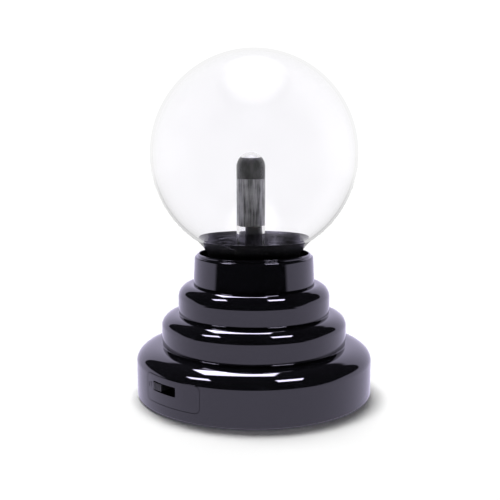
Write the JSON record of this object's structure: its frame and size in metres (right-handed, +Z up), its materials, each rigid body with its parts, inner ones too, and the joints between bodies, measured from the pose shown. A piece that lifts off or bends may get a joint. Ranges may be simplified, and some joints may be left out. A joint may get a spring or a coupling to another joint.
{
  "type": "plasma ball",
  "caption": "Clear glass globe with a central electrode tube on a round stepped gloss black base with a side slide switch.",
  "frame": {"origin": "centre of the underside of the rubber feet, on the globe's axis", "axes": "+Z up the globe's axis, front at -Y (the slide switch is at the front left, the power inlet at the back, +Y)"},
  "size_m": [0.1056, 0.1056, 0.1524],
  "materials": {
    "gloss_black": "polished",
    "satin_black": "fine texture",
    "black_rubber": "matte",
    "clear_glass": "polished",
    "neck_black": "matte coating",
    "wool": "fine strands",
    "dark_band": "satin",
    "foam": "foam",
    "red_silicone": "satin",
    "zinc_steel": "zinc plated",
    "nickel": "nickel plated",
    "board_green": "solder mask",
    "ferrite": "ground",
    "copper_wire": "enamelled",
    "yellow_tape": "tape",
    "bare_aluminium": "extruded",
    "epoxy_black": "moulded",
    "capacitor_blue": "sleeve",
    "capacitor_red": "dipped",
    "resistor_tan": "lacquer",
    "white_nylon": "moulded",
    "cell_sleeve": "printed film",
    "wire_red": "insulation",
    "wire_black": "insulation"
  },
  "bodies": {
    "base": {"housing": "gloss_black", "globe_collar": "gloss_black", "bottom_cover": "satin_black", "rubber_feet": "black_rubber", "case_screws": "zinc_steel", "switch_plate": "gloss_black", "switch_body": "epoxy_black", "switch_screws": "zinc_steel", "power_inlet": "epoxy_black", "inlet_pin": "nickel", "glass_globe": "clear_glass", "neck_liner": "neck_black", "globe_seal": "black_rubber", "neck_clamp": "satin_black", "clamp_screws": "zinc_steel", "neck_pad": "foam", "electrode_tube": "clear_glass", "electrode_wool": "wool", "electrode_band": "dark_band", "electrode_stem": "neck_black", "electrode_boot": "red_silicone", "high_voltage_lead": "red_silicone", "circuit_board": "board_green", "board_screws": "zinc_steel", "transformer_core": "ferrite", "transformer_bobbin": "epoxy_black", "primary_winding": "copper_wire", "secondary_winding": "yellow_tape", "heat_sink": "bare_aluminium", "power_transistor": "epoxy_black", "heat_sink_screw": "zinc_steel", "electrolytic_capacitors": "capacitor_blue", "film_capacitor": "capacitor_red", "resistors": "resistor_tan", "diodes": "epoxy_black", "driver_chip": "epoxy_black", "choke_core": "ferrite", "choke_winding": "copper_wire", "wire_connectors": "white_nylon", "battery_cells": "cell_sleeve", "battery_springs": "nickel", "battery_contacts": "nickel", "red_wires": "wire_red", "black_wires": "wire_black"},
    "slide_knob": {"switch_knob": "satin_black"},
    "cell_door": {"battery_door": "satin_black"}
  },
  "joints": [
    {"name": "switch_slide", "type": "slide", "parent": "base", "child": "slide_knob", "axis": [0.7132, -0.7009, 0], "range_m": [0, 0.008]},
    {"name": "battery_door_hinge", "type": "hinge", "parent": "base", "child": "cell_door", "pos_m": [0.0262, 0, 0.0019], "axis": [0, -1, 0], "range_deg": [0, 95]}
  ]
}
